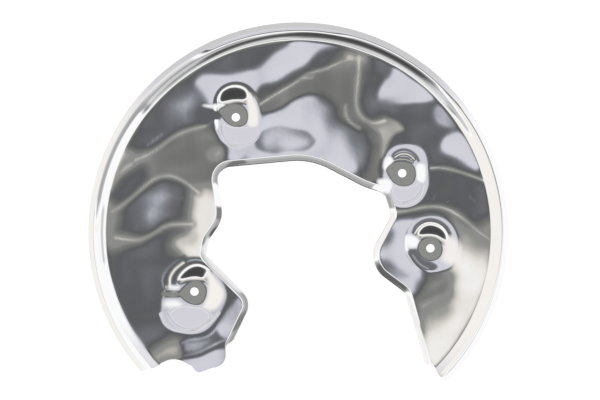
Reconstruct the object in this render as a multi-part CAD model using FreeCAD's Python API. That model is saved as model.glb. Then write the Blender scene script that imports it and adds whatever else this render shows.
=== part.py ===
"""Brake dust shield: one pressed sheet, open at the bottom, with a raised rim and four bolt wells.

Millimetres. The origin is on the wheel axis, in the plane of the four mounting faces.
+Z runs along the wheel axis towards the brake disc, and +Y is up on the vehicle.
"""

import FreeCAD
import Part
import math
import os
from FreeCAD import Vector

# Sheet and overall sizes
SHEET = 1.0
OUTER_RADIUS = 165.0
WELL_DEPTH = 5.5
WEB_FRONT = SHEET + WELL_DEPTH
UP = Vector(0, 0, 1)

# Rim, from the flat web outwards: foot bend, wall, shoulder, ledge and turned-down edge
RIM_WALL_RUN = 5.0
RIM_WALL_ANGLE = 34.0
RIM_LEDGE_RUN = 4.3
RIM_LEDGE_ANGLE = 6.0
RIM_EDGE_RUN = 4.1
RIM_EDGE_ANGLE = 34.0
RIM_FOOT_BEND = 4.0
RIM_CREST_BEND = SHEET
RIM_FLAT = 3.0

# Lip turned back round the central opening
LIP_ANGLE = 50.0
LIP_BEND = 3.8
LIP_FLAT = 2.0
LIP_RUN = 3.3

# Bend line of the lip: corners and their radii, from the lower left lobe to the lower right end
BEND_LINE = [
    (-58.0, -86.0, 0), (-42.5, -55.2, 8), (-78.2, -19.5, 9), (-75.3, -3.8, 18), (-64.2, 12.0, 15),
    (-70.3, 55.3, 15.3), (10.7, 62.9, 60), (54.0, 40.5, 40), (72.0, 35.0, 12), (78.5, 12.6, 12),
    (59.2, -22.4, 16), (88.4, -44.3, 12), (107.6, -106.0, 0),
]

# Trimmed ends: the lower left tab and rim end, then the lower right end
LEFT_END = [
    (-30.0, -78.0, 0), (-56.3, -86.5, 3), (-56.3, -101.5, 13), (-79.5, -110.8, 4),
    (-83.5, -105.2, 1.5), (-97.0, -97.8, 16), (-111.0, -105.5, 10), (-118.5, -109.4, 1),
    (-135.0, -109.3, 0),
]
RIGHT_END = [(122.0, -124.1, 0), (109.3, -111.8, 1), (107.3, -104.0, 1), (60.0, -104.0, 0)]
FAR_BELOW = -2 * OUTER_RADIUS

# Bolt wells: each opens from a round floor, which meets the knuckle, to an oval mouth in the web
HOLE_RADIUS = 3.3
FLOOR_RADIUS = 9.2
WELLS = [
    {"hole": (-49.2, 90.6), "floor": (-49.4, 91.8), "mouth": (-48.0, 92.3), "halves": (18.0, 24.0)},
    {"hole": (81.8, 46.6), "floor": (82.0, 45.8), "mouth": (85.4, 45.2), "halves": (17.0, 23.5)},
    {"hole": (104.0, -12.5), "floor": (103.6, -12.8), "mouth": (104.0, -9.0), "halves": (20.0, 21.0)},
    {"hole": (-81.8, -46.6), "floor": (-81.6, -47.6), "mouth": (-82.5, -52.0), "halves": (23.5, 26.0)},
]


def turn_at(before, corner, after):
    """Signed turn of a path at a corner, in radians, positive to the left."""
    first = corner - before
    second = after - corner
    return math.atan2(first.cross(second).dot(UP), first.dot(second))


def rounded_path(corners):
    """Edges of a path in a plane, straight between corners and with a tangent arc at each radius."""
    points = [Vector(x, y, 0) for x, y, _ in corners]
    radii = [radius for _, _, radius in corners]
    edges = []
    start = points[0]
    for before, corner, after, radius in zip(points, points[1:], points[2:], radii[1:]):
        half_turn = turn_at(before, corner, after) / 2
        reach = abs(radius * math.tan(half_turn))
        arc_start = corner + (before - corner).normalize() * reach
        arc_end = corner + (after - corner).normalize() * reach
        inwards = ((before - corner).normalize() + (after - corner).normalize()).normalize()
        arc_middle = corner + inwards * (radius / math.cos(half_turn) - radius)
        edges.append(Part.LineSegment(start, arc_start).toShape())
        if radius > 0:
            edges.append(Part.Arc(arc_start, arc_middle, arc_end).toShape())
        start = arc_end
    edges.append(Part.LineSegment(start, points[-1]).toShape())
    return edges


def beside(corners, distance):
    """The same path moved to its right by a distance, with concentric bends or crisp ones."""
    points = [Vector(x, y, 0) for x, y, _ in corners]
    rights = [(b - a).normalize().cross(UP) for a, b in zip(points, points[1:])]
    moved = [(points[0] + rights[0] * distance, 0)]
    for index in range(1, len(points) - 1):
        before, after = rights[index - 1], rights[index]
        mitre = (before + after) * (distance / (1 + before.dot(after)))
        turn = turn_at(points[index - 1], points[index], points[index + 1])
        radius = max(corners[index][2] + math.copysign(distance, turn), 0)
        moved.append((points[index] + mitre, radius))
    moved.append((points[-1] + rights[-1] * distance, 0))
    return [(point.x, point.y, radius) for point, radius in moved]


def sheet_section(corners):
    """Closed face of the sheet's thickness behind a path of its front, drawn across the sheet."""
    front = rounded_path(corners)
    back = rounded_path(beside(corners, SHEET))
    ends = [
        Part.LineSegment(front[0].firstVertex().Point, back[0].firstVertex().Point).toShape(),
        Part.LineSegment(front[-1].lastVertex().Point, back[-1].lastVertex().Point).toShape(),
    ]
    return Part.Face(Part.Wire(Part.__sortEdges__(front + ends + back)))


def stood_up(section):
    """A drawn section turned so that its X runs outwards and its Y runs along +Z."""
    turned = section.copy()
    turned.rotate(Vector(), Vector(1, 0, 0), 90)
    return turned


def prism(edges, bottom, top):
    """Upright solid over a closed set of flat edges."""
    base = Part.Face(Part.Wire(Part.__sortEdges__(edges)))
    base.translate(Vector(0, 0, bottom))
    return base.extrude(Vector(0, 0, top - bottom))


def closed_below(edges, corners):
    """Edges of a path, closed by straight lines through further corners back to its start."""
    points = [edges[-1].lastVertex(True).Point] + corners + [edges[0].firstVertex(True).Point]
    return edges + [Part.LineSegment(a, b).toShape() for a, b in zip(points, points[1:])]


def folded_along(edge, section):
    """The section carried along one straight or round edge, standing out to the edge's right."""
    start = edge.valueAt(edge.FirstParameter)
    tangent = edge.tangentAt(edge.FirstParameter)
    right = tangent.cross(UP)
    placed = section.copy()
    placed.Placement = FreeCAD.Placement(start, FreeCAD.Rotation(right, UP, -tangent, "XYZ"))
    if edge.Curve.TypeId != "Part::GeomCircle":
        return placed.extrude(tangent * edge.Length)
    centre = edge.Curve.Center
    side = -1 if (centre - start).dot(right) > 0 else 1
    return placed.revolve(centre, UP, side * math.degrees(edge.Length / edge.Curve.Radius))


def oval(centre, halves, height):
    """Closed oval wire with the given half widths along X and Y."""
    ring = Part.Wire(Part.Circle(Vector(), UP, 1).toShape())
    stretch = FreeCAD.Matrix()
    stretch.scale(*halves, 1)
    stretch.move(*centre, height)
    return ring.transformGeometry(stretch)


def well(place, low, high, growth):
    """Solid of a well between two heights, grown square to its wall by a distance."""
    sections = []
    for height in (low, high):
        share = (height - SHEET) / WELL_DEPTH
        centre = [floor + (mouth - floor) * share for floor, mouth in zip(place["floor"], place["mouth"])]
        halves = []
        for half in place["halves"]:
            flare = half - FLOOR_RADIUS
            halves.append(FLOOR_RADIUS + flare * share + growth * math.hypot(flare, WELL_DEPTH) / WELL_DEPTH)
        sections.append(oval(centre, halves, height))
    return Part.makeLoft(sections, True, True)


# Flat web, open inside the bend line
rim_crest = OUTER_RADIUS - RIM_EDGE_RUN
rim_shoulder = rim_crest - RIM_LEDGE_RUN
rim_foot = rim_shoulder - RIM_WALL_RUN
web_radius = rim_foot - RIM_FLAT
bend_line = rounded_path(BEND_LINE)
opening_edges = closed_below(
    bend_line, [Vector(BEND_LINE[-1][0], FAR_BELOW, 0), Vector(BEND_LINE[0][0], FAR_BELOW, 0)]
)
web = Part.makeCylinder(web_radius, SHEET, Vector(0, 0, WELL_DEPTH))
web = web.cut(prism(opening_edges, 0, WEB_FRONT + SHEET))

# Bolt wells, pressed back from the web
backs = [well(place, 0, WELL_DEPTH + SHEET / 2, SHEET) for place in WELLS]
fronts = [well(place, SHEET, WEB_FRONT + SHEET, 0) for place in WELLS]
web = web.fuse(backs).cut(fronts)

# Rim, spun round the wheel axis
shoulder_height = WEB_FRONT + RIM_WALL_RUN * math.tan(math.radians(RIM_WALL_ANGLE))
crest_height = shoulder_height + RIM_LEDGE_RUN * math.tan(math.radians(RIM_LEDGE_ANGLE))
edge_height = crest_height - RIM_EDGE_RUN * math.tan(math.radians(RIM_EDGE_ANGLE))
rim_section = sheet_section([
    (web_radius, WEB_FRONT, 0),
    (rim_foot, WEB_FRONT, RIM_FOOT_BEND),
    (rim_shoulder, shoulder_height, 0),
    (rim_crest, crest_height, RIM_CREST_BEND),
    (OUTER_RADIUS, edge_height, 0),
])
rim = stood_up(rim_section).rotated(Vector(), UP, -90).revolve(Vector(), UP, 360)

# Lip, folded back along the bend line
lip_drop = LIP_RUN * math.tan(math.radians(LIP_ANGLE))
lip_section = sheet_section([
    (0, WEB_FRONT, 0),
    (LIP_FLAT, WEB_FRONT, LIP_BEND),
    (LIP_FLAT + LIP_RUN, WEB_FRONT - lip_drop, 0),
])
lip = [folded_along(edge, lip_section) for edge in bend_line]

# One sheet, trimmed at its two lower ends and pierced for the bolts
left_end = rounded_path(LEFT_END)
right_end = rounded_path(RIGHT_END)
trim_edges = left_end + right_end
corners = [
    left_end[-1].lastVertex(True).Point,
    Vector(LEFT_END[-1][0], FAR_BELOW, 0),
    Vector(RIGHT_END[0][0], FAR_BELOW, 0),
    right_end[0].firstVertex(True).Point,
]
trim_edges += [Part.LineSegment(a, b).toShape() for a, b in zip(corners, corners[1:])]
trim_edges.append(
    Part.LineSegment(right_end[-1].lastVertex(True).Point, left_end[0].firstVertex(True).Point).toShape()
)
trim = prism(trim_edges, -SHEET, crest_height + SHEET)
holes = [Part.makeCylinder(HOLE_RADIUS, WEB_FRONT, Vector(*place["hole"], -SHEET)) for place in WELLS]
shield = web.fuse([rim] + lip).removeSplitter().cut([trim] + holes)

os.makedirs("parts", exist_ok=True)
shield.exportStep("parts/dust_shield.step")
print("valid", shield.isValid(), "solids", len(shield.Solids), "volume", round(shield.Volume))
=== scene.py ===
"""Brake dust shield: one pressed sheet of bright metal, lying on the backs of its bolt wells."""

import math

import bmesh
import bpy
import numpy
from mathutils import Matrix, Vector


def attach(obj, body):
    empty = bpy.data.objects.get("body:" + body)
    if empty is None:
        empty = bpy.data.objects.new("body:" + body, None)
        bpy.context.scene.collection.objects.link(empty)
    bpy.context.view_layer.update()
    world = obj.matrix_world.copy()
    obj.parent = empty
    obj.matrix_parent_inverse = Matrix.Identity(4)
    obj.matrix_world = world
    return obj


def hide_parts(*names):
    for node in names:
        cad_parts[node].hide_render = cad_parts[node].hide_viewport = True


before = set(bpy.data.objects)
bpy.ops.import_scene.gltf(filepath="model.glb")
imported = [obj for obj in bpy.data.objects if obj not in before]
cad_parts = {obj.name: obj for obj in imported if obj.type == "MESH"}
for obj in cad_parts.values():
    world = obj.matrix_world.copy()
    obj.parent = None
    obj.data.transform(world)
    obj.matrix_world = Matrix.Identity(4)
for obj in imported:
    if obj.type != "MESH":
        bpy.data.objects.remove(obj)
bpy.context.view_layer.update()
scene = bpy.context.scene
scene.view_settings.view_transform = "Standard"

# Shield
# One sheet of bright aluminium, 1 mm thick, blanked and pressed between two dies: a raised rim, a lip
# round the opening, four bolt wells, and a web that the press left gently rippled.

SHEET = 1.0
OUTER_RADIUS = 165.0
WELL_DEPTH = 5.5
WEB_FRONT = SHEET + WELL_DEPTH
CAMERA_HEIGHT = 2600.0

# Section of the rim, from the web outwards: radius, height, bend
RIM_PATH = [
    (148.6, WEB_FRONT, 0), (151.6, WEB_FRONT, 3.0), (156.6, WEB_FRONT + 3.4, 1.5),
    (160.9, WEB_FRONT + 2.9, 1.5), (OUTER_RADIUS, WEB_FRONT + 0.6, 0),
]
# Section of the lip, from its edge to the web: distance in from the bend line, height, bend
LIP_PATH = [(5.3, WEB_FRONT - 3.9, 0), (2.0, WEB_FRONT, 3.8), (0, WEB_FRONT, 0)]
# Bend line of the lip, from the lower left tab round to the lower right end: corners and their radii
BEND_LINE = [
    (-66.0, -105.9, 0), (-57.3, -102.4, 9), (-57.8, -87.5, 10), (-42.5, -55.2, 8), (-78.2, -19.5, 9),
    (-75.3, -3.8, 18), (-64.2, 12.0, 15), (-70.3, 55.3, 15.3), (10.7, 62.9, 60), (54.0, 40.5, 40),
    (72.0, 35.0, 12), (78.5, 12.6, 12), (59.2, -22.4, 16), (88.4, -44.3, 12), (104.6, -102.6, 0),
]
# Lower left end of the web, from the tab to the rim
LEFT_END = [
    (-66.0, -105.9, 0), (-79.5, -110.8, 4), (-83.5, -105.2, 1.5),
    (-97.0, -97.8, 16), (-107.6, -102.5, 0),
]
# Trimmed ends of the rim: angles at its inner and outer side, and the radii between which each changes
RIM_LEFT_INNER, RIM_LEFT_OUTER = math.radians(223.6), math.radians(221.6)
RIM_LEFT_RADII = (151, OUTER_RADIUS)
RIM_RIGHT_INNER, RIM_RIGHT_OUTER = math.radians(-44.5), math.radians(-45.4)
RIM_RIGHT_RADII = (149, 157)
# Shares of the bend line between which the lip grows to its full reach, and the share it grows from
LIP_STARTS = (0.040, 0.062)
LIP_LEAST = 0.12
# Share of the columns that bend towards the lower left end
TAB_SHARE = 0.09
COLUMNS = 440
WEB_ROWS = 58
# Steps along traced paths: radians on arcs, millimetres on lines
FINE_STEPS = (0.04, 0.4)
RIM_STEPS = (0.2, 1.7)
LIP_STEPS = (0.2, 1.2)

# Wells: each opens from a round floor to an oval mouth in the web, with soft bends at both
HOLE_RADIUS = 3.3
FLOOR_RADIUS = 9.2
MOUTH_BEND = 0.7
FLOOR_BEND = 0.3
BEYOND_MOUTH = 1.6
HALVINGS = 18
WELLS = [
    {"hole": (-49.2, 90.6), "floor": (-49.4, 91.8), "mouth": (-48.0, 92.3), "halves": (18.0, 24.0)},
    {"hole": (81.8, 46.6), "floor": (82.0, 45.8), "mouth": (85.4, 45.2), "halves": (17.0, 23.5)},
    {"hole": (104.0, -12.5), "floor": (103.6, -12.8), "mouth": (104.0, -9.0), "halves": (20.0, 21.0)},
    {"hole": (-81.8, -46.6), "floor": (-81.6, -47.6), "mouth": (-82.5, -52.0), "halves": (23.5, 26.0)},
]


def trace(corners, arc_step, line_step):
    """Points along a path of corners that are rounded by their radii."""
    flat = [Vector((x, y)) for x, y, _ in corners]
    points = []
    start = flat[0]
    for before, corner, after, (_, _, radius) in zip(flat, flat[1:], flat[2:], corners[1:]):
        inwards, outwards = (before - corner).normalized(), (after - corner).normalized()
        turn = math.pi - inwards.angle(outwards)
        reach = radius * math.tan(turn / 2)
        arc_start = corner + inwards * reach
        centre = corner + (inwards + outwards).normalized() * radius / math.cos(turn / 2)
        count = max(1, round((arc_start - start).length / line_step))
        points += [start.lerp(arc_start, step / count) for step in range(count)]
        spoke = arc_start - centre
        way = 1 if inwards.cross(outwards) < 0 else -1
        count = max(2, round(turn / arc_step))
        for step in range(count):
            points.append(centre + Matrix.Rotation(way * turn * step / count, 2) @ spoke)
        start = corner + outwards * reach
    count = max(1, round((flat[-1] - start).length / line_step))
    points += [start.lerp(flat[-1], step / count) for step in range(count + 1)]
    return points


class Route:
    """A traced path that gives its point at a share of its length."""

    def __init__(self, corners):
        self.points = trace(corners, *FINE_STEPS)
        self.reached = [0.0]
        for a, b in zip(self.points, self.points[1:]):
            self.reached.append(self.reached[-1] + (b - a).length)

    def at(self, share):
        """Point and right-hand side of the path at a share of its length."""
        target = min(max(share, 0), 1) * self.reached[-1]
        low, high = 0, len(self.reached) - 2
        while low < high:
            middle = (low + high + 1) // 2
            if self.reached[middle] <= target:
                low = middle
            else:
                high = middle - 1
        a, b = self.points[low], self.points[low + 1]
        local = (target - self.reached[low]) / (b - a).length
        along = (b - a).normalized()
        return a.lerp(b, local), Vector((along.y, -along.x))


def ease(value, low, high):
    """Smooth step from 0 to 1 between two values."""
    share = min(max((value - low) / (high - low), 0), 1)
    return share * share * (3 - 2 * share)


def soft_floor(values, bend):
    """The values where they are positive and 0 where they aren't, rounded over a bend."""
    bent = (values + bend) ** 2 / (4 * bend)
    return numpy.where(values <= -bend, 0, numpy.where(values >= bend, values, bent))


def sink(places):
    """Depth below the flat web at each place: a well's wall runs from a round floor to an oval mouth."""
    deepest = numpy.zeros(len(places))
    for well in WELLS:
        floor, mouth, halves = (numpy.array(well[name]) for name in ("floor", "mouth", "halves"))
        low, high = numpy.zeros(len(places)), numpy.full(len(places), BEYOND_MOUTH)
        for _ in range(HALVINGS):
            share = (low + high) / 2
            local = places - floor - (mouth - floor) * share[:, None]
            reach = FLOOR_RADIUS + (halves - FLOOR_RADIUS) * share[:, None]
            beyond = numpy.hypot(*(local / reach).T) > 1
            low, high = numpy.where(beyond, share, low), numpy.where(beyond, high, share)
        wall = soft_floor(WELL_DEPTH * (1 - share), MOUTH_BEND)
        deepest = numpy.maximum(deepest, WELL_DEPTH - soft_floor(WELL_DEPTH - wall, FLOOR_BEND))
    return deepest


bend_line = Route(BEND_LINE)
left_end = Route(LEFT_END)
rim_rows = trace(RIM_PATH, *RIM_STEPS)
lip_rows = trace(LIP_PATH, *LIP_STEPS)
rows = len(lip_rows) - 1 + WEB_ROWS + len(rim_rows) - 1
web_radius = rim_rows[0].x


def rim_angle(share, radius):
    """Angle of a column of the mesh where it crosses the rim at a radius."""
    left = RIM_LEFT_INNER + (RIM_LEFT_OUTER - RIM_LEFT_INNER) * ease(radius, *RIM_LEFT_RADII)
    right = RIM_RIGHT_INNER + (RIM_RIGHT_OUTER - RIM_RIGHT_INNER) * ease(radius, *RIM_RIGHT_RADII)
    return left + (right - left) * share


def web_place(across, share):
    """Point of the web at a share across it, from the bend line to the rim, along one column."""
    inner, _ = bend_line.at(share)
    angle = rim_angle(share, web_radius)
    outer = Vector((math.cos(angle), math.sin(angle))) * web_radius
    place = inner.lerp(outer, across)
    start, _ = bend_line.at(0)
    first_angle = rim_angle(0, web_radius)
    first_outer = Vector((math.cos(first_angle), math.sin(first_angle))) * web_radius
    pull = (1 - min(share / TAB_SHARE, 1)) ** 2
    edge, _ = left_end.at(across)
    return place + (edge - start.lerp(first_outer, across)) * pull


def sheet_place(row, share):
    """Point of the sheet's front at a row, from the lip's edge to the rim's, and a share along it."""
    if row < len(lip_rows):
        reach, height = lip_rows[row]
        bend, right = bend_line.at(share)
        growth = LIP_LEAST + (1 - LIP_LEAST) * ease(share, *LIP_STARTS)
        flat = bend + right * reach * growth
        return Vector((flat.x, flat.y, WEB_FRONT + (height - WEB_FRONT) * growth))
    row -= len(lip_rows) - 1
    if row < WEB_ROWS:
        flat = web_place(row / WEB_ROWS, share)
        return Vector((flat.x, flat.y, WEB_FRONT))
    radius, height = rim_rows[row - WEB_ROWS]
    angle = rim_angle(share, radius)
    return Vector((radius * math.cos(angle), radius * math.sin(angle), height))


# Round a hole: faces split finer, points moved onto its circle, and faces that a well's split leaves out
NEAR_HOLE = HOLE_RADIUS + 3
ON_HOLE = HOLE_RADIUS + 1
PAST_HOLE = HOLE_RADIUS + 4
MOUTH_MARGIN = 3
CRISP_EDGE = math.radians(40)
MILLIMETRE = 0.001

sheet = bmesh.new()
bmesh.ops.create_grid(sheet, x_segments=rows, y_segments=COLUMNS, size=0.5)
for vert in sheet.verts:
    vert.co = sheet_place(round((vert.co.x + 0.5) * rows), vert.co.y + 0.5)
near = [
    face for face in sheet.faces
    if any((face.calc_center_median().xy - Vector(well["hole"])).length < NEAR_HOLE for well in WELLS)
]
edges = list({edge for face in near for edge in face.edges})
bmesh.ops.subdivide_edges(sheet, edges=edges, cuts=2, use_grid_fill=True)
for well in WELLS:
    hole = Vector(well["hole"])
    inside = [face for face in sheet.faces if (face.calc_center_median().xy - hole).length < HOLE_RADIUS]
    bmesh.ops.delete(sheet, geom=inside, context="FACES")
    for vert in sheet.verts:
        spoke = vert.co.xy - hole
        if vert.is_boundary and spoke.length < ON_HOLE:
            vert.co.xy = hole + spoke.normalized() * HOLE_RADIUS
verts = list(sheet.verts)
for vert, depth in zip(verts, sink(numpy.array([vert.co.xy for vert in verts]))):
    vert.co.z -= depth
bmesh.ops.recalc_face_normals(sheet, faces=sheet.faces)
if sum(face.normal.z for face in sheet.faces) < 0:
    bmesh.ops.reverse_faces(sheet, faces=sheet.faces)
bmesh.ops.solidify(sheet, geom=sheet.faces, thickness=SHEET)
wells_front = [
    face for face in sheet.faces
    if face.normal.z > 0.5 and any(
        (face.calc_center_median().xy - Vector(well["mouth"])).length < well["halves"][1] + MOUTH_MARGIN
        and (face.calc_center_median().xy - Vector(well["hole"])).length > PAST_HOLE
        for well in WELLS
    )
]
edges = list({edge for face in wells_front for edge in face.edges})
bmesh.ops.subdivide_edges(sheet, edges=edges, cuts=1, use_grid_fill=True)
bmesh.ops.scale(sheet, vec=(MILLIMETRE,) * 3, verts=sheet.verts)
for face in sheet.faces:
    face.smooth = True
for edge in sheet.edges:
    edge.smooth = len(edge.link_faces) < 2 or edge.calc_face_angle() < CRISP_EDGE
mesh = bpy.data.meshes.new("pressed_sheet")
sheet.to_mesh(mesh)
sheet.free()
shield = bpy.data.objects.new("pressed_sheet", mesh)
scene.collection.objects.link(shield)

# How far a painted reflection leans the mirrored view to the north, or to the south where negative
GREEN, LINE, SLATE_LEAN, DIM, HAZE, PALE = 0.045, -0.07, 0.125, 0.148, 0.165, 0.235
FLAT, WARM, CREAM_LEAN, GLARE, DARK, MOON_LEAN = 0.0, -0.07, -0.13, -0.28, -0.75, 0.58
SILVER_LEAN, PEWTER_LEAN, LEAD, BRIGHT_LEAN = -0.53, -0.58, -0.64, 0.46
GREY_LINE, SOFT_SILVER = 0.192, -0.48
# How far a painted reflection on a wall leans it to the east or the west
EAST, WEST = 0.7, -0.7
# Factors by which edges of areas and of walls are drawn softer than their rows say
AREA_SOFTNESS, SIDE_SOFTNESS = 1.3, 2.6
# Painted halo beside a crease: how strongly it is drawn, its width in half widths of the crease, and its
# lean
HALO_SHARE, HALO_WIDTH, HALO_LEAN = 0.6, 2.8, 0.02
# Painted reflections on areas of the web: lean, softness of the edge in millimetres, outline
WEB_REFLECTIONS = [
    (PALE, 3, [(-6, 156), (-8, 147), (-20, 139), (-30, 132), (-36, 127), (-50, 125), (-65, 124.5),
               (-76, 124), (-84, 118), (-78, 112), (-73, 103), (-72, 99), (-60, 95), (-60, 84), (-68, 80),
               (-62, 66), (-52, 54), (-36, 60), (-32, 80), (-30, 98), (-34, 103), (-32, 112), (-25, 117),
               (-12, 121), (0, 129.5), (10, 136), (15, 140), (21, 143.5), (30, 146), (44, 146), (40, 156)]),
    (HAZE + 0.035, 8, [(-96, 86), (-101, 96), (-94, 107), (-85, 116), (-77, 110), (-79, 96), (-86, 84)]),
    (GREEN, 1.6, [(-31, 100), (-10, 113), (0, 119), (12, 126), (28, 131), (38, 134.5), (44, 132),
                  (46, 120), (44, 108), (44, 100), (46, 92), (51, 86), (58, 82), (66, 76), (68, 68),
                  (62, 52), (66, 40), (50, 40), (45, 62), (35, 77), (28, 86), (20, 99), (13, 109),
                  (0, 106), (-15, 97), (-30, 93)]),
    (DIM, 6, [(14, 108), (22, 108), (30, 92), (44, 82), (56, 80), (58, 66), (54, 48), (44, 48), (40, 66),
              (26, 84)]),
    (PALE, 3, [(-30, 93), (-15, 96), (-5, 102), (5, 107.5), (13, 108.5), (18, 103), (22, 96), (28, 86),
               (35, 77), (42, 69), (44, 60), (47, 46), (30, 44), (15, 52), (0, 54), (-20, 52), (-40, 50),
               (-42, 70), (-32, 80)]),
    (HAZE + 0.02, 7, [(14, 107), (24, 98), (32, 86), (42, 72), (48, 56), (41, 57), (34, 69), (24, 83),
                      (14, 97)]),
    (HAZE + 0.01, 1.6, [(-34, 72), (-30, 80), (-20, 83.5), (-8, 84), (4, 81), (11, 75), (14, 70), (8, 65),
                        (-6, 62), (-22, 62), (-32, 65)]),
    (PALE - 0.03, 3.5, [(-28, 72), (-22, 78), (-10, 80), (2, 77), (9, 71), (2, 67), (-10, 65), (-24, 66)]),
    (HAZE, 4, [(46, 148), (52, 136), (57, 134), (63, 124), (70, 120), (78, 132), (64, 142), (56, 148)]),
    (PALE, 2.4, [(80, 140), (72, 124), (66, 119.5), (63.5, 112), (62.5, 100), (70, 98), (80, 101.5),
                 (104, 101.5), (114, 110), (100, 120), (88, 132)]),
    (HAZE, 5, [(58, 104), (64, 104), (80, 100), (78, 95), (64, 94), (58, 98)]),
    (HAZE + 0.03, 2.5, [(105, 101), (116, 102), (124, 92), (127, 84), (120, 80), (112, 82), (107, 88)]),
    (PALE, 3, [(112, 72), (117, 77), (126, 82), (140, 76), (148, 52), (141, 48), (133, 52), (125, 56.5),
               (118, 61), (113, 65)]),
    (GREEN, 4, [(-128, 57), (-118, 60.5), (-110, 65), (-100, 73), (-90, 78), (-80, 81), (-70, 82),
                (-62, 74), (-66, 60), (-62, 50), (-62, 36), (-78, 31), (-86, 40), (-95, 44), (-104, 45),
                (-113, 43), (-118, 46), (-119, 54)]),
    (LINE + 0.02, 4, [(-71, 60), (-66, 68), (-60, 70), (-56, 62), (-62, 54), (-68, 55)]),
    (HAZE + 0.025, 9, [(-116, 34), (-98, 38), (-92, 28), (-104, 16), (-116, 4), (-126, 12)]),
    (FLAT - 0.03, 4, [(-146, 62), (-138, 66), (-128, 64), (-121, 61), (-128, 56), (-136, 50), (-144, 43),
                      (-152, 34), (-154, 46)]),
    (FLAT, 5, [(-156, 28), (-143, 24), (-142, 8), (-143, -1), (-130, -2), (-122, -6), (-136, -12),
               (-156, -14)]),
    (WARM, 8, [(-86, 34), (-84, 18), (-85, 4), (-100, -9), (-92, -18), (-80, -27), (-56, -20), (-54, 20),
               (-60, 36)]),
    (CREAM_LEAN - 0.02, 6, [(-79, 30), (-81, 18), (-80, 4), (-86, -4), (-96, -8), (-88, -14), (-80, -24),
                            (-58, -20), (-56, 20), (-64, 31)]),
    (WARM, 4, [(-92, -3), (-80, 0), (-79, -8), (-84, -12), (-96, -11)]),
    (HAZE, 8, [(-122, -84), (-114, -72), (-98, -76), (-90, -86), (-104, -92)]),
    (WARM + 0.01, 7, [(-120, -98), (-108, -87), (-96, -84), (-88, -87), (-92, -98), (-102, -101),
                      (-112, -108)]),
    (HAZE + 0.02, 3, [(-93, -84), (-80, -84), (-68, -84), (-70, -90), (-82, -95), (-92, -95)]),
    (PALE - 0.02, 1.5, [(-97, -100), (-86, -98.5), (-78, -97.5), (-68, -93), (-54, -89), (-48, -96),
                        (-60, -114), (-90, -116)]),
    (PALE - 0.02, 2, [(-66, -74), (-60, -67), (-52, -58), (-49, -52), (-43, -48), (-36, -54), (-40, -70),
                      (-54, -86), (-63, -82)]),
    (PALE, 3, [(78, 9), (86, 9.5), (94, 11), (104, 13.5), (114, 11), (122, 4), (126, -4), (120, -12),
               (92, -18), (98, -32), (102, -38), (90, -52), (84, -46), (66, -30), (54, -18), (64, -4),
               (72, 8)]),
    (HAZE, 5, [(60, 4), (74, 4), (73, -6), (66, -14), (58, -12)]),
    (HAZE + 0.01, 4, [(62, -22), (70, -22), (80, -25), (87, -32), (88, -37), (78, -38), (68, -34)]),
    (FLAT, 6, [(122, 14), (130, 9), (140, 0), (156, -8), (156, -24), (140, -18), (126, -6), (120, 6)]),
    (FLAT - 0.04, 8, [(124, 4), (134, 0), (150, 10), (156, 4), (156, -20), (136, -16), (122, -6)]),
    (WARM, 9, [(122, -6), (140, -13), (156, -14), (146, -66), (120, -100), (104, -112), (94, -74),
               (102, -58), (120, -44)]),
    (CREAM_LEAN - 0.03, 10, [(116, -12), (128, -16), (154, -24), (146, -62), (118, -96), (106, -108),
                             (99, -84), (112, -74), (124, -60), (122, -40)]),
    (FLAT + 0.01, 7, [(97, -38), (108, -33), (122, -32), (120, -40), (112, -48), (101, -52), (94, -54),
                      (92, -50)]),
    (WARM + 0.03, 6, [(98, -64), (108, -58), (122, -60), (112, -70), (101, -76)]),
    (CREAM_LEAN - 0.03, 8, [(102, -86), (112, -86), (114, -100), (104, -108)]),
    (LINE + 0.025, 1.4, [(54, 84.5), (60, 86.5), (66, 89), (71, 90.5), (77.5, 87), (83, 80.5), (80, 78.5),
                         (76, 77), (73, 72.5), (69.5, 67), (66, 60), (64, 57), (64.5, 66), (66, 73),
                         (65, 77), (62, 80.5), (57, 83)]),
]
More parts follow.
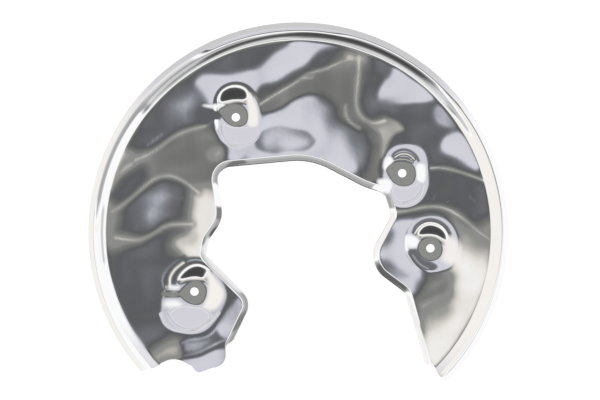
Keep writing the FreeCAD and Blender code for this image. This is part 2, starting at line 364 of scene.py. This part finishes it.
# Creases of the web, drawn as painted lines of reflection: lean, half width in millimetres, line
PAINTED_CREASES = [
    (LINE + 0.02, 2.4, [(-120, 60), (-126, 57), (-132, 53), (-138, 48.5), (-144, 42), (-148, 35)]),
    (LINE, 1.3, [(-128, 57), (-118, 61), (-110, 66), (-100, 74), (-90, 79), (-80, 82), (-73, 83.5),
                 (-69, 89), (-65, 94), (-58, 97)]),
    (LINE, 1.1, [(-31, 100), (-22, 106), (-10, 113), (0, 119), (6, 124), (14, 126.5), (22, 128.5),
                 (29, 132), (38, 135.5), (46, 137)]),
    (LINE, 1.0, [(3, 121), (7, 121.8), (11, 122)]),
    (LINE, 3.6, [(40, 138), (45, 137), (50, 136.5)]),
    (LINE, 1.7, [(47.5, 138), (47.5, 126), (46, 112), (45, 101), (47.5, 93), (53, 87.5), (60, 85.5),
                 (68, 88)]),
    (LINE, 0.9, [(100, 50), (108, 51), (116, 50.5), (126, 48), (138, 44), (150, 39)]),
    (LINE, 1.2, [(-147, 16), (-140, 20), (-130, 28), (-120, 37), (-113, 42.5), (-104, 45), (-96, 43.5),
                 (-87, 38.5), (-78, 31)]),
    (LINE, 1.3, [(-144, -4), (-130, -6.5), (-121, -5), (-112, 0), (-105, 5), (-97, 6.5), (-83, 6.5)]),
    (LINE, 1.3, [(76, 16), (86, 17), (96, 19.5), (106, 20.5), (114, 19.5), (122, 16), (132, 9), (142, 0),
                 (154, -8)]),
    (HAZE + 0.03, 1.2, [(-92, -87), (-85, -84), (-75, -83), (-69, -80.5), (-64, -75), (-58, -66),
                        (-52, -58)]),
    (HAZE + 0.03, 1.2, [(-90, -97), (-80, -95.5), (-72, -91.5), (-64, -87), (-56, -84)]),
    (DIM - 0.05, 1.0, [(-88, -98.5), (-78, -97), (-70, -93), (-62, -89.5), (-56, -88)]),
    (FLAT - 0.03, 2.4, [(98, -58), (105, -54), (112, -52), (118, -48)]),
    (LINE, 1.0, [(37, 100), (37, 92), (41, 86), (48, 82)]),
    (HAZE, 0.95, [(-119, 68), (-113, 72.5), (-107, 77.5)]),
    (HAZE, 0.6, [(106, 26), (108, 30)]),
    (HAZE, 0.6, [(116.5, 23), (118, 25)]),
    (HAZE, 0.6, [(134, 30), (136, 26), (139, 25)]),
    (HAZE, 0.6, [(-93, 26), (-90, 27.5)]),
]


def shadow(outline):
    """Rows of a painted shade, a dark patch with a thin pale edge, on the upper wall of a well."""
    return [(PEWTER_LEAN, 0.6, outline), (DARK, 5.0, outline)]


# Painted reflections and painted shade inside the wells, in place of the walls' own slope
WELL_REFLECTIONS = [
    (PALE, 1.5, [(-66, 99), (-67, 106), (-62, 114), (-54, 119), (-46, 119), (-38, 115), (-34, 108),
                 (-30, 100), (-29, 88), (-29, 80), (-34, 71), (-46, 66), (-58, 70), (-63, 78), (-63, 90)]),
    (SLATE_LEAN, 1.5, [(-80, 99), (-72, 96.5), (-63, 96), (-60, 92), (-62, 88), (-67, 89), (-71, 84),
                       (-80, 86)]),
    (MOON_LEAN, 1.6, [(-59.5, 87), (-56, 84), (-50, 82.5), (-43, 83), (-38, 83), (-31, 84), (-31, 76),
                      (-36, 70.5), (-46, 68), (-55, 70.5), (-59.5, 77)]),
    *shadow([(-62, 105), (-60, 111), (-54, 114), (-48, 114.4), (-42, 112.5), (-39.5, 107), (-42, 104.3),
             (-50, 104.3), (-56, 102.5), (-61, 102.5)]),
    (PALE, 1.5, [(67, 55), (69, 63), (76, 68.5), (84, 70.5), (92, 69.5), (99, 65), (102, 57), (103, 48),
                 (102, 36), (98, 27), (91, 21), (83, 19), (74, 21), (69, 29), (66, 40), (67, 50)]),
    (MOON_LEAN, 1.6, [(75, 38), (79, 35.5), (85, 35), (92, 37.5), (96, 40.5), (96.6, 35), (94, 29),
                      (88, 25), (81, 24), (76, 26), (73, 31)]),
    (PALE, 1.5, [(84, -2), (87, 6), (94, 12), (103, 14), (112, 13), (120, 8), (125, 0), (127, -10),
                 (126, -20), (121, -28), (112, -31), (100, -31), (91, -25), (86, -16)]),
    (DIM, 1.6, [(85, -13.5), (93, -12), (95, -17), (99, -21.5), (105, -23), (111, -27), (104, -31.5),
                (96, -30), (90, -25), (86, -18)]),
    *shadow([(94, -1.5), (97, 3.5), (102, 6), (107, 5.5), (112.5, 3), (116, -1.5), (117, -7), (112, -4),
             (108, -2), (102, -1.5), (98, -2)]),
    (PALE - 0.02, 1.5, [(-104, -43), (-104, -34), (-98, -26), (-90, -21), (-80, -19), (-72, -22),
                        (-64, -31), (-57, -42), (-55, -54), (-60, -65), (-68, -76), (-78, -80),
                        (-90, -80), (-101, -77), (-107, -70), (-109, -62), (-106, -52)]),
    (FLAT + 0.02, 1.2, [(-108, -46.3), (-94, -46), (-92, -49), (-94, -51), (-108, -50.5)]),
    (MOON_LEAN, 2.4, [(-90, -57), (-82, -59), (-76, -59), (-69, -64), (-71, -71), (-79, -76.5),
                      (-89, -76), (-98, -71), (-102, -65), (-99, -60)]),
    *shadow([(-94.5, -37), (-90, -31), (-84, -27), (-78, -26), (-71, -29.5), (-73, -33), (-75, -36),
             (-81, -35.6), (-87, -36)]),
]
# Painted highlights, dark lines and pale edges inside the wells: lean, half width in millimetres, line
WELL_REFLECTION_LINES = [
    (DIM - 0.04, 1.1, [(-66, 101), (-65.5, 106), (-62, 112), (-55, 116.8), (-47, 117.4), (-40, 114.8),
                       (-36, 110), (-36.5, 106)]),
    (GLARE, 0.5, [(-63, 100.5), (-63.8, 105), (-60.5, 111), (-54, 115), (-47, 115.6), (-41.5, 113),
                  (-38.6, 108), (-39, 103)]),
    (WARM - 0.04, 0.7, [(-61, 101.3), (-53, 103.6), (-46, 103.6), (-41, 101.5)]),
    (GREY_LINE, 0.7, [(-60.5, 84), (-60, 78), (-56.5, 72), (-50, 68.6), (-43, 68.4), (-36, 71), (-31, 76)]),
    (DIM, 1.2, [(73.5, 56.5), (74, 61), (77.6, 64), (82.6, 65.5), (88.6, 64), (93, 60), (94.5, 56.5)]),
    (GLARE + 0.12, 0.9, [(76, 59), (79.6, 61.5), (84.6, 62), (88.6, 60.3), (91.2, 57.6)]),
    (HAZE, 0.8, [(78.6, 58.6), (83.6, 59.3), (87.6, 58.3)]),
    (WARM - 0.04, 0.7, [(74.6, 56.2), (79.6, 57.8), (85.6, 57.3), (90, 55.2)]),
    (GREY_LINE, 0.7, [(96.3, 39.6), (96.8, 34.5), (94, 29), (88.6, 25.2), (81.6, 23.2)]),
    (BRIGHT_LEAN, 0.9, [(99, 37), (97.6, 30), (94, 25.4), (88, 22), (81, 20.6), (74.6, 22.5)]),
    (DIM, 1.2, [(90, 0), (92, 5.5), (98, 9.5), (104, 10.6), (111, 9), (117, 4.4), (119.4, -1)]),
    (GLARE, 0.5, [(91.5, -1), (94, 3.4), (98.5, 7), (104, 8), (110.4, 6.5), (115.4, 2), (118, -4)]),
    (WARM - 0.04, 0.7, [(96, -5), (99, -2.8), (104, -2.3), (109.5, -3.8), (113, -7)]),
    (DIM - 0.04, 0.7, [(86.5, -17), (91, -24), (96, -29), (101, -31)]),
    (GREY_LINE, 0.8, [(90, -18), (95, -25), (102, -28.5)]),
    (GREY_LINE, 1.0, [(-105.5, -44), (-107.5, -37), (-103.5, -29), (-95.5, -22), (-89, -19)]),
    (DIM - 0.03, 1.0, [(-103, -43), (-105, -37), (-101, -29.6), (-93, -23), (-87, -21)]),
    (GLARE + 0.1, 1.6, [(-101, -41), (-101, -35), (-96.5, -28.4), (-90, -24)]),
    (DIM - 0.03, 1.3, [(-97.5, -40), (-97.5, -34.5), (-92.5, -28), (-85.5, -23.6), (-77, -23.6),
                       (-71, -27)]),
    (GLARE, 0.5, [(-95, -37.6), (-91.7, -31.7), (-85.6, -26.5), (-79, -24.9), (-73.5, -26.6), (-70, -29.5)]),
    (WARM - 0.04, 0.7, [(-93, -40), (-88.3, -36.8), (-81.3, -35.2), (-75.3, -36.6), (-72, -39)]),
    (GREY_LINE, 0.7, [(-102.5, -64), (-99.5, -69.4), (-93.3, -74.4), (-85.3, -76.2), (-77, -74),
                      (-71, -68.6)]),
    (BRIGHT_LEAN, 0.9, [(-108, -64), (-105.4, -72), (-98.3, -76.5), (-89.3, -78.6), (-81, -78.6),
                        (-73, -74.6), (-67, -68.5), (-62.5, -63.5)]),
    (DIM - 0.04, 1.4, [(-104, -78), (-90, -81), (-79, -81), (-71, -78), (-65, -72), (-60, -64),
                       (-56, -56), (-54, -50)]),
]
# Painted reflections on walls of the wells, leaning the mirrored view to the east, or to the west where
# negative
WALL_SIDE_REFLECTIONS = [
    (EAST, 1.2, [(-76, 101), (-66, 101), (-59, 102), (-57, 99.5), (-62, 97), (-68, 97), (-76, 99)]),
    (WEST, 1.2, [(-41, 83), (-39.5, 95), (-41, 103), (-40, 110), (-37.5, 110), (-33, 102), (-31, 93),
                 (-31, 83), (-35, 81.5)]),
    (EAST, 1.2, [(66, 49), (67, 58), (71, 61), (75, 58), (74, 53), (71, 49)]),
    (EAST, 1.5, [(62, 42), (72, 43), (75, 38), (74, 33), (68, 30), (62, 38)]),
    (EAST, 1.2, [(92, 54), (100, 55), (101, 44), (99, 38), (93, 40), (92.5, 46)]),
    (EAST, 1.5, [(84, -1), (85, -12), (92, -13), (95.5, -9), (95, -4), (90, -2)]),
    (WEST, 2.5, [(113, -8), (116, -4), (120, -1), (126, -5), (130, -14), (128, -25), (120, -28),
                 (112, -24), (111, -20), (113, -14)]),
    (EAST, 1.5, [(-103, -41), (-93, -41), (-92, -44), (-96, -46.5), (-103, -45)]),
    (EAST, 2.5, [(-106, -52), (-95, -51), (-89, -56), (-91, -61), (-101, -61), (-108, -59)]),
    (WEST, 2, [(-73, -30), (-71.5, -39), (-72, -49), (-75, -56), (-77, -60), (-67, -63), (-61, -58),
               (-57.5, -51), (-57.5, -45), (-63, -37), (-69, -30)]),
]
# Floors of the wells
FLOORS = [
    (FLAT, 0.7, [(-63.5, 96), (-57, 99.7), (-50, 101.6), (-43.5, 100), (-40, 95), (-39.7, 88),
                 (-43, 83.7), (-49, 82.7), (-55, 85), (-59.5, 90)]),
    (FLAT, 0.7, [(68.3, 50), (73.5, 54.5), (78.5, 56), (84.5, 56), (90, 53.5), (92.4, 48.5), (92, 41.5),
                 (88.3, 37.2), (82.5, 36.2), (76.3, 38), (72, 43)]),
    (FLAT, 0.7, [(94.2, -9), (98.5, -5), (104.5, -3.6), (110.3, -5.7), (113.4, -11), (113, -17),
                 (109.3, -21.3), (104, -22.6), (98.3, -20.5), (94, -15.5)]),
    (FLAT, 0.7, [(-94.5, -48), (-90, -42.3), (-83.5, -38), (-77, -38.4), (-72.7, -42.5), (-72.3, -49),
                 (-75, -55), (-80, -57.3), (-86.5, -55.7), (-91.5, -51.7)]),
]
# The lip: lean of its painted reflection, in place of its own slope, at a distance in from the bend line
LIP_LEAN = [
    (0.0, -0.58), (0.7, -0.585), (1.5, -0.535), (2.3, -0.565), (3.5, -0.59), (4.4, -0.57), (5.3, -0.53),
]
# Painted reflections and painted shade on the lip: lean, softness of the edge in millimetres, outline
LIP_REFLECTIONS = [
    (DARK + 0.09, 1.6, [(60.5, -27), (64.5, -23.5), (71, -32), (80, -37.4), (85.8, -42.5), (84.5, -46.5),
                        (78, -42), (70, -37.5), (64, -33)]),
    (SOFT_SILVER, 2, [(-46, -49), (-59, -36.5), (-74, -21.5), (-77, -10), (-70, -2), (-60, -8),
                      (-50, -30), (-40, -44)]),
    (LEAD, 1.2, [(-58, 51), (-53, 56), (-45, 57.5), (-39, 55), (-46, 53.3), (-52, 52)]),
    (LEAD + 0.02, 1.5, [(-61, 9), (-58, 16), (-60, 24), (-64, 22), (-66, 12)]),
    (DARK + 0.05, 1.2, [(-61, 4), (-65, -1), (-70, -5), (-69, 0), (-64, 5)]),
    (LEAD + 0.02, 1.2, [(-72.5, -3), (-74, -10), (-78, -11), (-75, -2)]),
    (GLARE, 2, [(-59, 26), (-62, 33), (-66, 40), (-70, 30), (-66, 22), (-60, 20)]),
    (LEAD + 0.02, 1.5, [(-38, -60), (-43, -62), (-50, -69), (-54.5, -77), (-51, -78.5), (-44, -72),
                        (-38, -66)]),
    (CREAM_LEAN - 0.05, 2, [(77, 18), (78, 6), (70, -4), (64, -14), (62, -23), (55, -20), (58, -4),
                            (68, 4), (71, 18)]),
    (CREAM_LEAN - 0.04, 2, [(84, -47), (89, -48), (98, -76), (108, -104), (96, -108), (88, -76), (82, -54)]),
    (GLARE, 2, [(57, 33), (62, 38), (66, 36), (66, 30), (60, 28)]),
]


# Degrees over which a streak ends
STREAK_FADE = 8
# Painted reflection streaks of the rim: lean, sideways lean, angle and radius of both ends, half width,
# softness
RIM_REFLECTION_STREAKS = [
    (0, WEST, (-46, 158.6), (44, 158.6), 2.0, 0.4),
    (0, EAST, (172, 158.8), (225, 158.8), 2.2, 0.4),
    (SILVER_LEAN + 0.02, 0, (118, 158.8), (174, 158.8), 2.2, 0.5),
    (PEWTER_LEAN, 0, (44, 158.8), (78, 158.4), 1.2, 1.4),
    (SOFT_SILVER, 0, (38, 155.4), (142, 155.0), 3.4, 0.6),
    (PEWTER_LEAN, 0, (-46, 160.9), (40, 161.1), 0.3, 0.35),
    (PEWTER_LEAN, 0, (172, 161.4), (225, 161.9), 0.3, 0.35),
    (LEAD, 0, (44, 156.8), (92, 155.2), 2.2, 1.6),
    (DARK + 0.03, 0, (50, 157.0), (92, 155.4), 1.5, 1.4),
    (LEAD, 0, (88, 155.3), (134, 153.9), 1.3, 1.2),
    (DARK + 0.03, 0, (86, 155.5), (122, 154.2), 0.9, 1.0),
    (SILVER_LEAN, 0, (118, 155.6), (140, 155.6), 1.4, 1.2),
    (PEWTER_LEAN - 0.02, 0, (128, 153.2), (142, 153.4), 0.4, 0.5),
    (PEWTER_LEAN - 0.02, 0, (104, 157.2), (150, 157.8), 0.9, 0.8),
    (PEWTER_LEAN - 0.01, 0, (138, 158.0), (178, 158.6), 1.3, 1.0),
    (SILVER_LEAN, 0, (170, 154.2), (192, 154.2), 2.0, 1.2),
    (SILVER_LEAN, 0, (29, 155.4), (49, 155.6), 1.6, 1.2),
]


def smoothed(points, closed):
    """A line of points with its corners cut twice."""
    line = [Vector(point) for point in points]
    for _ in range(2):
        pairs = list(zip(line, line[1:] + line[:1])) if closed else list(zip(line, line[1:]))
        cut = [near for a, b in pairs for near in (a.lerp(b, 0.25), a.lerp(b, 0.75))]
        line = cut if closed else [line[0]] + cut[1:-1] + [line[-1]]
    return numpy.array(line)


def distances(places, line, closed):
    """Distance of each place to a line, and whether a closed one holds it."""
    ends = numpy.roll(line, -1, axis=0) if closed else line[1:]
    starts = line if closed else line[:-1]
    nearest = numpy.full(len(places), 1e9)
    inside = numpy.zeros(len(places), bool)
    for start, end in zip(starts, ends):
        run, reach = end - start, places - start
        share = numpy.clip(reach @ run / max(run @ run, 1e-9), 0, 1)
        nearest = numpy.minimum(nearest, numpy.hypot(*(reach - share[:, None] * run).T))
        spans = (start[1] > places[:, 1]) != (end[1] > places[:, 1])
        if run[1] != 0:
            inside ^= spans & (reach[:, 0] < run[0] * reach[:, 1] / run[1])
    return nearest, inside


def cover(places, outline, softness):
    """How far an outline with a soft edge covers each place, from 0 to 1."""
    line = smoothed(outline, True)
    share = numpy.zeros(len(places))
    close = numpy.all((places > line.min(0) - softness) & (places < line.max(0) + softness), axis=1)
    near, inside = distances(places[close], line, True)
    share[close] = numpy.clip(0.5 + numpy.where(inside, near, -near) / softness / 2, 0, 1)
    return share * share * (3 - 2 * share)


def stroke(places, points, half_width):
    """How far a soft line covers each place, from 0 to 1."""
    line = smoothed(points, False)
    share = numpy.zeros(len(places))
    margin = 3 * half_width
    close = numpy.all((places > line.min(0) - margin) & (places < line.max(0) + margin), axis=1)
    near, _ = distances(places[close], line, False)
    share[close] = numpy.exp(-((near / half_width) ** 2))
    return share


def streak(radius, angle, start, end, half_width, softness):
    """How far a soft streak round the axis covers each place, from 0 to 1."""
    centre = numpy.interp(angle, *zip(*sorted([start, end])))
    first, last = sorted([start[0], end[0]])
    share = numpy.clip(0.5 + (half_width - numpy.abs(radius - centre)) / softness / 2, 0, 1)
    share *= numpy.clip(0.5 + (angle - first) / STREAK_FADE, 0, 1)
    share *= numpy.clip(0.5 + (last - angle) / STREAK_FADE, 0, 1)
    return share * share * (3 - 2 * share)


coordinates = numpy.empty(len(mesh.vertices) * 3)
mesh.vertices.foreach_get("co", coordinates)
places = coordinates.reshape(-1, 3)[:, :2] / MILLIMETRE
east_way, north_way = places.T
# Ripples of the web: lean, radians a millimetre to the east and north, sway, and the sway's own radians
RIPPLES = [
    (0.013, 0.09, 0.05, 1.4, -0.03, 0.06), (0.008, 0.21, -0.17, 1.7, 0.11, 0.13),
    (0.0015, 0.9, 0.55, 2, -0.3, 0.5),
]
waves = numpy.zeros(len(places))
for level, to_east, to_north, sway, sway_east, sway_north in RIPPLES:
    swing = sway * numpy.sin(east_way * sway_east + north_way * sway_north)
    waves += level * numpy.sin(east_way * to_east + north_way * to_north + swing)
# Areas are drawn with a small wobble, so that no edge looks ruled
WOBBLE = 0.8
wobbly = places + WOBBLE * numpy.column_stack([
    numpy.sin(north_way * 0.21 + 2 * numpy.sin(east_way * 0.08)),
    numpy.sin(east_way * 0.19 + 2 * numpy.sin(north_way * 0.1)),
])
lean = numpy.full(len(places), SLATE_LEAN)
for level, softness, outline in WEB_REFLECTIONS:
    lean += (level - lean) * cover(wobbly, outline, AREA_SOFTNESS * softness)
for level, half_width, line in PAINTED_CREASES:
    if level < 0:
        lean += (HALO_LEAN - lean) * HALO_SHARE * stroke(places, line, HALO_WIDTH * half_width)
    lean += (level - lean) * stroke(places, line, half_width)
# The painted reflection leans of the web end at this depth of a well's wall
WALL_STARTS = 0.5
lean = (lean + waves) * (1 - numpy.clip(sink(places) / WALL_STARTS, 0, 1))
# How far the painted reflections take the place of the surface's own slope
pressed = numpy.zeros(len(places))
for level, softness, outline in WELL_REFLECTIONS:
    share = cover(places, outline, softness)
    lean += (level - lean) * share
    pressed = numpy.maximum(pressed, share)
for level, half_width, line in WELL_REFLECTION_LINES:
    share = stroke(places, line, half_width)
    lean += (level - lean) * share
    pressed = numpy.maximum(pressed, share)
side = numpy.zeros(len(places))
for level, softness, outline in WALL_SIDE_REFLECTIONS:
    share = cover(places, outline, SIDE_SOFTNESS * softness)
    side += (level - side) * share
    pressed = numpy.maximum(pressed, share)
for level, softness, outline in FLOORS:
    share = cover(places, outline, softness)
    lean += (level - lean) * share
    side *= 1 - share
    pressed = numpy.maximum(pressed, share)
FAR_BELOW = -200
LIP_LIMIT = 120
LIP_FADE = 0.4
below = [(BEND_LINE[-1][0], FAR_BELOW), (BEND_LINE[0][0], FAR_BELOW)]
bend_outline = numpy.array([tuple(point) for point in bend_line.points[::3]] + below)
into_lip, on_lip = numpy.zeros(len(places)), numpy.zeros(len(places), bool)
close = numpy.hypot(east_way, north_way) < LIP_LIMIT
into_lip[close], on_lip[close] = distances(places[close], bend_outline, True)
lip_lean = numpy.interp(into_lip, *zip(*LIP_LEAN))
for level, softness, outline in LIP_REFLECTIONS:
    lip_lean += (level - lip_lean) * cover(places, outline, softness)
on_lip = on_lip * numpy.clip(into_lip / LIP_FADE, 0, 1)
lean += (lip_lean - lean) * on_lip
pressed = numpy.maximum(pressed, on_lip)
radius, angle = numpy.hypot(east_way, north_way), numpy.degrees(numpy.arctan2(north_way, east_way))
angle[angle < -90] += 360
for level, across, start, end, half_width, softness in RIM_REFLECTION_STREAKS:
    share = streak(radius, angle, start, end, half_width, softness)
    lean += (level - lean) * share
    side += (across - side) * share
    pressed = numpy.maximum(pressed, share)
# The back has the same painted reflection leans of the web, and keeps its own slope where the front has
# painted walls
ups = numpy.empty(len(mesh.vertices) * 3)
mesh.vertices.foreach_get("normal", ups)
front = ups[2::3] > 0
lean = numpy.where(front, lean, lean * (pressed - 1))
pressed, side = pressed * front, side * front
# The painted normal leans half as far as the view. The height term lays one room over the whole part from
# above.
# That fits the painted reflections to the camera straight above the part.
tilt = (lean - north_way / CAMERA_HEIGHT) / 2
for name, values in (("lean", tilt), ("pressed", pressed), ("side", side / 2)):
    mesh.attributes.new(name, "FLOAT", "POINT").data.foreach_set("value", values)


class Signal:
    """A node socket that takes part in Python expressions."""

    def __init__(self, tree, socket):
        self.tree = tree
        self.socket = socket

    def math(self, operation, *others):
        """This value and others through one Math node."""
        made = self.tree.nodes.new("ShaderNodeMath")
        made.operation = operation
        for slot, value in zip(made.inputs, (self,) + others):
            if isinstance(value, Signal):
                self.tree.links.new(value.socket, slot)
            else:
                slot.default_value = value
        return Signal(self.tree, made.outputs[0])

    def __add__(self, other):
        return self.math("ADD", other)

    def __sub__(self, other):
        return self.math("SUBTRACT", other)

    def __rsub__(self, other):
        return (self * -1) + other

    def __mul__(self, other):
        return self.math("MULTIPLY", other)

    def __truediv__(self, other):
        return self.math("DIVIDE", other)

    __radd__ = __add__
    __rmul__ = __mul__


def node(tree, kind, settings=None, stops=None, output=0, **links):
    """One node of a tree, with its settings, ramp stops and inputs, as a signal of one output."""
    made = tree.nodes.new(kind)
    for name, value in (settings or {}).items():
        setattr(made, name, value)
    if stops:
        ramp = made.color_ramp
        while len(ramp.elements) < len(stops):
            ramp.elements.new(0.5)
        for element, (position, colour) in zip(ramp.elements, stops):
            element.position = position
            element.color = (*colour, 1)
    for name, value in links.items():
        slot = made.inputs[int(name[3:])] if name.startswith("pin") else made.inputs[name.replace("_", " ")]
        if isinstance(value, Signal):
            tree.links.new(value.socket, slot)
        else:
            slot.default_value = value
    return Signal(tree, made.outputs[output])


bright = bpy.data.materials.new("bright_sheet")
bright.use_nodes = True
tree = bright.node_tree
principled = tree.nodes["Principled BSDF"]
principled.inputs["Metallic"].default_value = 1.0
principled.inputs["Base Color"].default_value = (0.74, 0.74, 0.75, 1)
principled.inputs["Roughness"].default_value = 0.06
# The normal carries the painted reflections: lean and side tilt it, and pressed is how far they replace its
# own slope
painted_lean = node(tree, "ShaderNodeAttribute", {"attribute_name": "lean"}, output=2)
normal_under_paint = node(
    tree, "ShaderNodeMix", {"data_type": "VECTOR"}, output=1,
    pin0=node(tree, "ShaderNodeAttribute", {"attribute_name": "pressed"}, output=2),
    pin4=node(tree, "ShaderNodeNewGeometry", output=1), pin5=(0, 0, 1),
)
leaning_east = node(tree, "ShaderNodeAttribute", {"attribute_name": "side"}, output=2)
leaning = node(tree, "ShaderNodeCombineXYZ", X=leaning_east, Y=painted_lean)
tilted = node(tree, "ShaderNodeVectorMath", pin0=normal_under_paint, pin1=leaning)
upright = node(tree, "ShaderNodeVectorMath", {"operation": "NORMALIZE"}, pin0=tilted)
tree.links.new(upright.socket, principled.inputs["Normal"])
mesh.materials.append(bright)
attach(shield, "root")
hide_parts("dust_shield")

# Floor
# A pale seamless sweep under the part. The room lights it, and a faint glow makes it white to the
# camera.

FLOOR_REACH = 6
FLOOR_GLOW = 0.45

floor_mesh = bmesh.new()
bmesh.ops.create_grid(floor_mesh, x_segments=1, y_segments=1, size=FLOOR_REACH)
floor_data = bpy.data.meshes.new("floor")
floor_mesh.to_mesh(floor_data)
floor_mesh.free()
floor = bpy.data.objects.new("floor", floor_data)
scene.collection.objects.link(floor)
paper = bpy.data.materials.new("white_paper")
paper.use_nodes = True
tree = paper.node_tree
tree.nodes["Principled BSDF"].inputs["Base Color"].default_value = (0.86, 0.86, 0.86, 1)
tree.nodes["Principled BSDF"].inputs["Roughness"].default_value = 0.9
tree.nodes["Principled BSDF"].inputs["Specular IOR Level"].default_value = 0.0
rays = tree.nodes.new("ShaderNodeLightPath")
seen = Signal(tree, rays.outputs["Is Camera Ray"]) + Signal(tree, rays.outputs["Is Glossy Ray"])
seen = seen + Signal(tree, rays.outputs["Is Transmission Ray"])
glow = node(tree, "ShaderNodeEmission", Strength=seen * FLOOR_GLOW)
matt = Signal(tree, tree.nodes["Principled BSDF"].outputs[0])
both = node(tree, "ShaderNodeAddShader", pin0=matt, pin1=glow)
tree.links.new(both.socket, tree.nodes["Material Output"].inputs["Surface"])
floor_data.materials.append(paper)

# Light
# A room of soft boxes and dark cards round the part, drawn in the world by direction.

world = bpy.data.worlds.new("studio")
scene.world = world
world.use_nodes = True
tree = world.node_tree
heading = node(tree, "ShaderNodeTexCoord")
parts = tree.nodes.new("ShaderNodeSeparateXYZ")
tree.links.new(heading.socket, parts.inputs[0])
east, north, up = (Signal(tree, output) for output in parts.outputs)
GREY = (0.354, 0.36, 0.338)
GREEN_GREY = (0.26, 0.264, 0.25)
OLIVE = (0.205, 0.208, 0.197)
DEEP_SLATE = (0.13, 0.133, 0.142)
SLATE = (0.20, 0.205, 0.22)
HAZY = (0.83, 0.83, 0.91)
BLUE_GREY = (0.292, 0.307, 0.343)
LAVENDER = (0.918, 0.908, 0.986)
CREAM = (1.22, 1.18, 1.12)
WARM_GREY = (0.696, 0.664, 0.616)
WARM_WHITE = (1.047, 0.997, 0.928)
WHITE = (1.3, 1.3, 1.3)
MOON = (0.87, 0.85, 0.92)
SILVER = (0.80, 0.80, 0.80)
BRIGHT = (1.0, 1.0, 1.04)
CARD = (0.075, 0.075, 0.075)
overhead = node(
    tree, "ShaderNodeValToRGB",
    stops=[(half + 0.5, colour) for half, colour in (
        (-0.5, WHITE), (-0.11, WHITE), (-0.065, WARM_WHITE), (-0.04, WARM_GREY), (-0.02, GREY), (0.0, GREY),
        (0.014, GREEN_GREY), (0.034, OLIVE), (0.052, DEEP_SLATE), (0.072, SLATE),
        (0.083, BLUE_GREY), (0.103, HAZY), (0.135, LAVENDER), (0.16, WARM_GREY), (0.185, LAVENDER),
        (0.215, BRIGHT), (0.25, MOON), (0.30, MOON), (0.40, SILVER), (0.5, SILVER),
    )],
    Fac=north * 0.5 + 0.5,
)
across = node(
    tree, "ShaderNodeValToRGB", stops=[(0.0, CREAM), (0.45, CREAM), (0.6, WHITE), (1.0, WHITE)],
    Fac=east * 0.5 + 0.5,
)
# The sides of the room start where east outweighs a share of north
SIDE_SHARE = 0.6
off_axis = node(
    tree, "ShaderNodeMapRange", {"interpolation_type": "SMOOTHSTEP"},
    Value=east.math("ABSOLUTE") - north.math("ABSOLUTE") * SIDE_SHARE, From_Min=0.1, From_Max=0.5,
)
open_sky = node(
    tree, "ShaderNodeMix", {"data_type": "RGBA"}, output=2, pin0=off_axis, pin6=overhead, pin7=across
)
# Soft dark card to the south: half widths to the east and the north, and how far south it stands
CARD_EAST, CARD_NORTH, CARD_SOUTHING = 0.85, 0.5, 0.95
wide, deep = east / CARD_EAST, (north + CARD_SOUTHING) / CARD_NORTH
carded = node(
    tree, "ShaderNodeMapRange", {"interpolation_type": "SMOOTHSTEP"},
    Value=wide * wide + deep * deep, From_Min=1.15, From_Max=0.35,
)
sky = node(
    tree, "ShaderNodeMix", {"data_type": "RGBA"}, output=2, pin0=carded, pin6=open_sky, pin7=(*CARD, 1)
)
background = tree.nodes["Background"]
tree.links.new(sky.socket, background.inputs["Color"])

# Camera
# Straight above the part, as the photo looks at the side that faces the disc.

SENSOR_WIDTH = 36.0
PICTURE_WIDTH_MM = 471.4
PICTURE_CENTRE = (0.0013, 0.0255)
camera_data = bpy.data.cameras.new("camera")
camera_data.sensor_width = SENSOR_WIDTH
camera_data.lens = SENSOR_WIDTH * (CAMERA_HEIGHT - WEB_FRONT) / PICTURE_WIDTH_MM
camera_data.clip_end = 20
camera = bpy.data.objects.new("camera", camera_data)
camera.location = (*PICTURE_CENTRE, CAMERA_HEIGHT / 1000)
scene.collection.objects.link(camera)
scene.camera = camera
